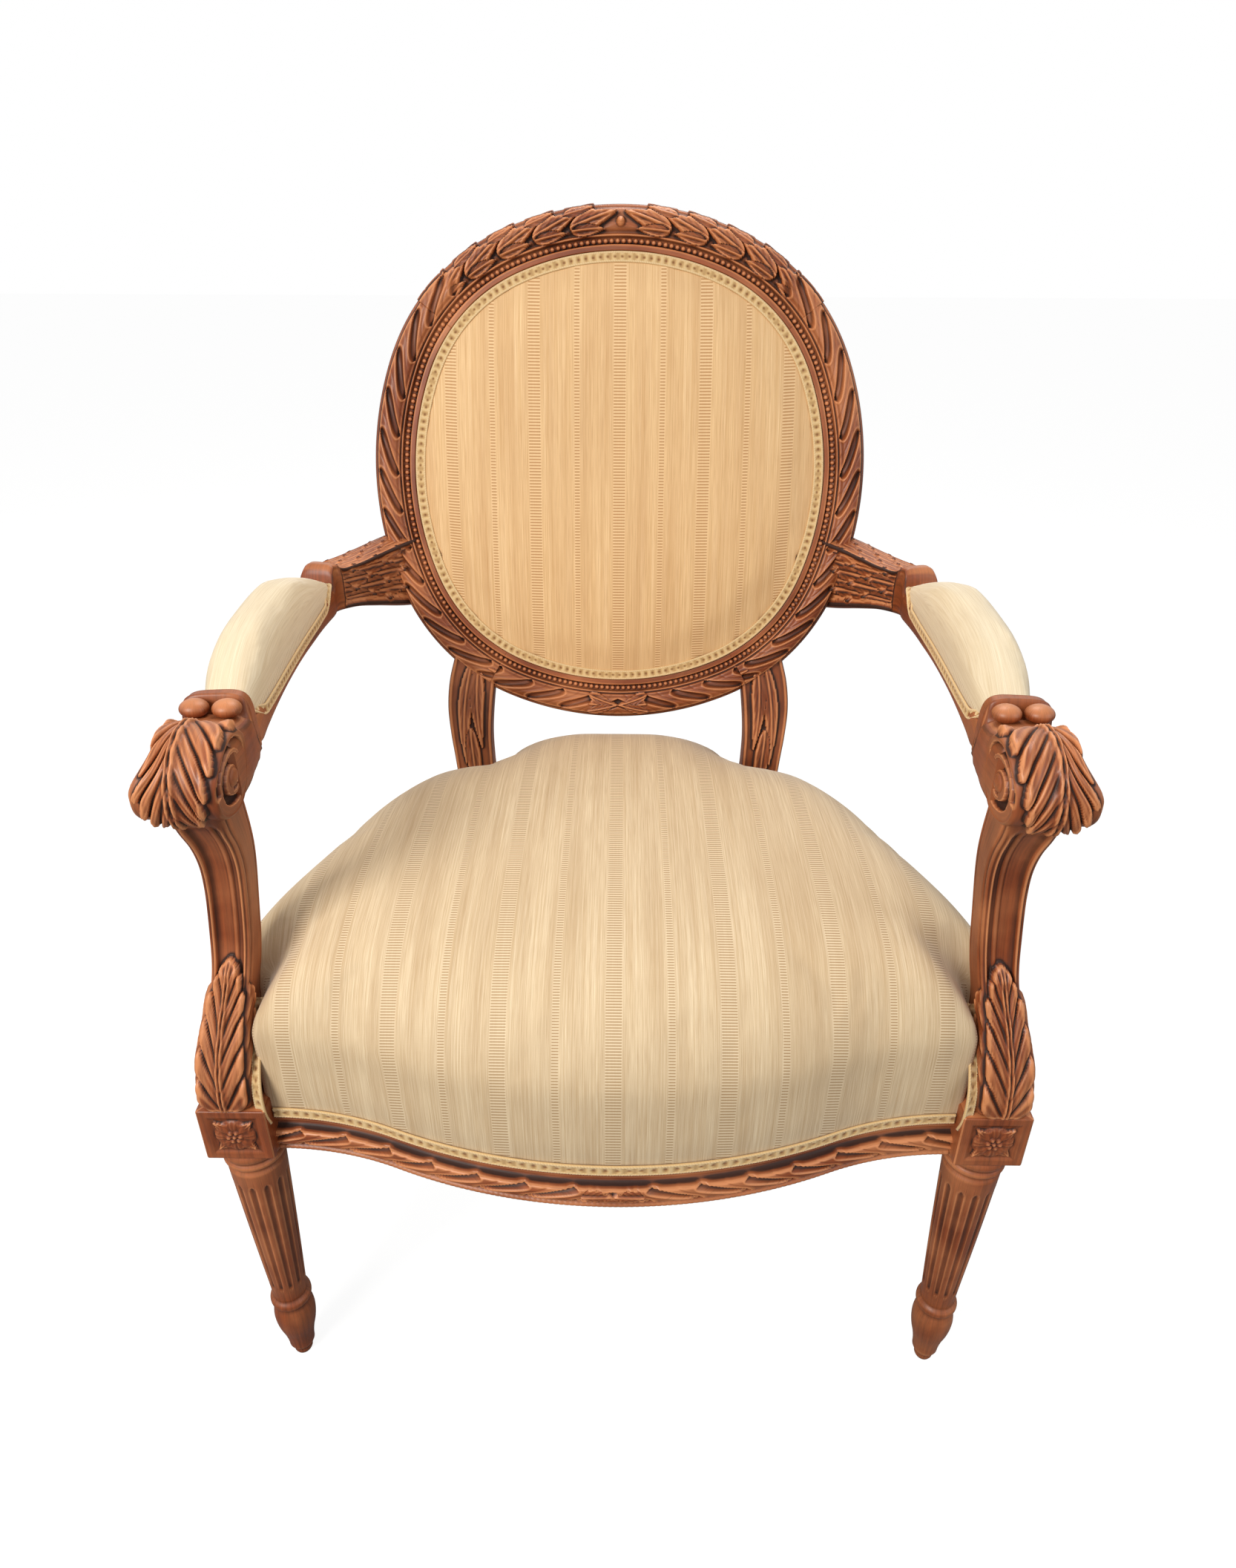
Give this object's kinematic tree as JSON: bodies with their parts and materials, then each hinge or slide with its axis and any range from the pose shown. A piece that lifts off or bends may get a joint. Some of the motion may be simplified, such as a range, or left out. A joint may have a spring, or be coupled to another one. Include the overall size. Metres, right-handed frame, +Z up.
{
  "type": "upholstered open armchair",
  "caption": "Open armchair with an oval padded back in a carved frame, padded arms on curved posts, a deep stuffed seat and turned fluted legs.",
  "frame": {"origin": "under the middle of the chair on the floor, midway between its foremost and rearmost points", "axes": "+Z up, -Y towards the sitter's knees (the chair faces -Y), +X to the right seen from the front"},
  "size_m": [0.6564, 0.6256, 0.9562],
  "materials": {
    "carved_wood": "satin wax polish over a reddish brown stain",
    "plain_wood": "bare beech",
    "striped_cloth": "striped silk with ribbed bands",
    "arm_cloth": "striped silk, paler",
    "gimp": "woven braid",
    "webbing": "jute webbing",
    "hessian": "hessian",
    "stuffing": "curled hair",
    "lining": "black lining cloth"
  },
  "bodies": {
    "root": {"front_leg_left": "carved_wood", "back_leg_left": "carved_wood", "arm_left": "carved_wood", "arm_post_left": "carved_wood", "side_rail_left": "carved_wood", "arm_pad_left": "stuffing", "arm_cover_left": "arm_cloth", "arm_gimp_left": "gimp", "corner_block_front_left": "plain_wood", "corner_block_rear_left": "plain_wood", "front_leg_right": "carved_wood", "back_leg_right": "carved_wood", "arm_right": "carved_wood", "arm_post_right": "carved_wood", "side_rail_right": "carved_wood", "arm_pad_right": "stuffing", "arm_cover_right": "arm_cloth", "arm_gimp_right": "gimp", "corner_block_front_right": "plain_wood", "corner_block_rear_right": "plain_wood", "crest_rail": "carved_wood", "back_lower_rail": "carved_wood", "front_rail": "carved_wood", "back_rail": "plain_wood", "seat_cover": "striped_cloth", "back_cover": "striped_cloth", "outside_back_cover": "striped_cloth", "seat_webbing": "webbing", "back_webbing": "webbing", "seat_hessian": "hessian", "back_hessian": "hessian", "seat_stuffing": "stuffing", "back_stuffing": "stuffing", "seat_gimp": "gimp", "back_gimp": "gimp", "outside_back_gimp": "gimp", "seat_dust_cloth": "lining"}
  },
  "joints": []
}
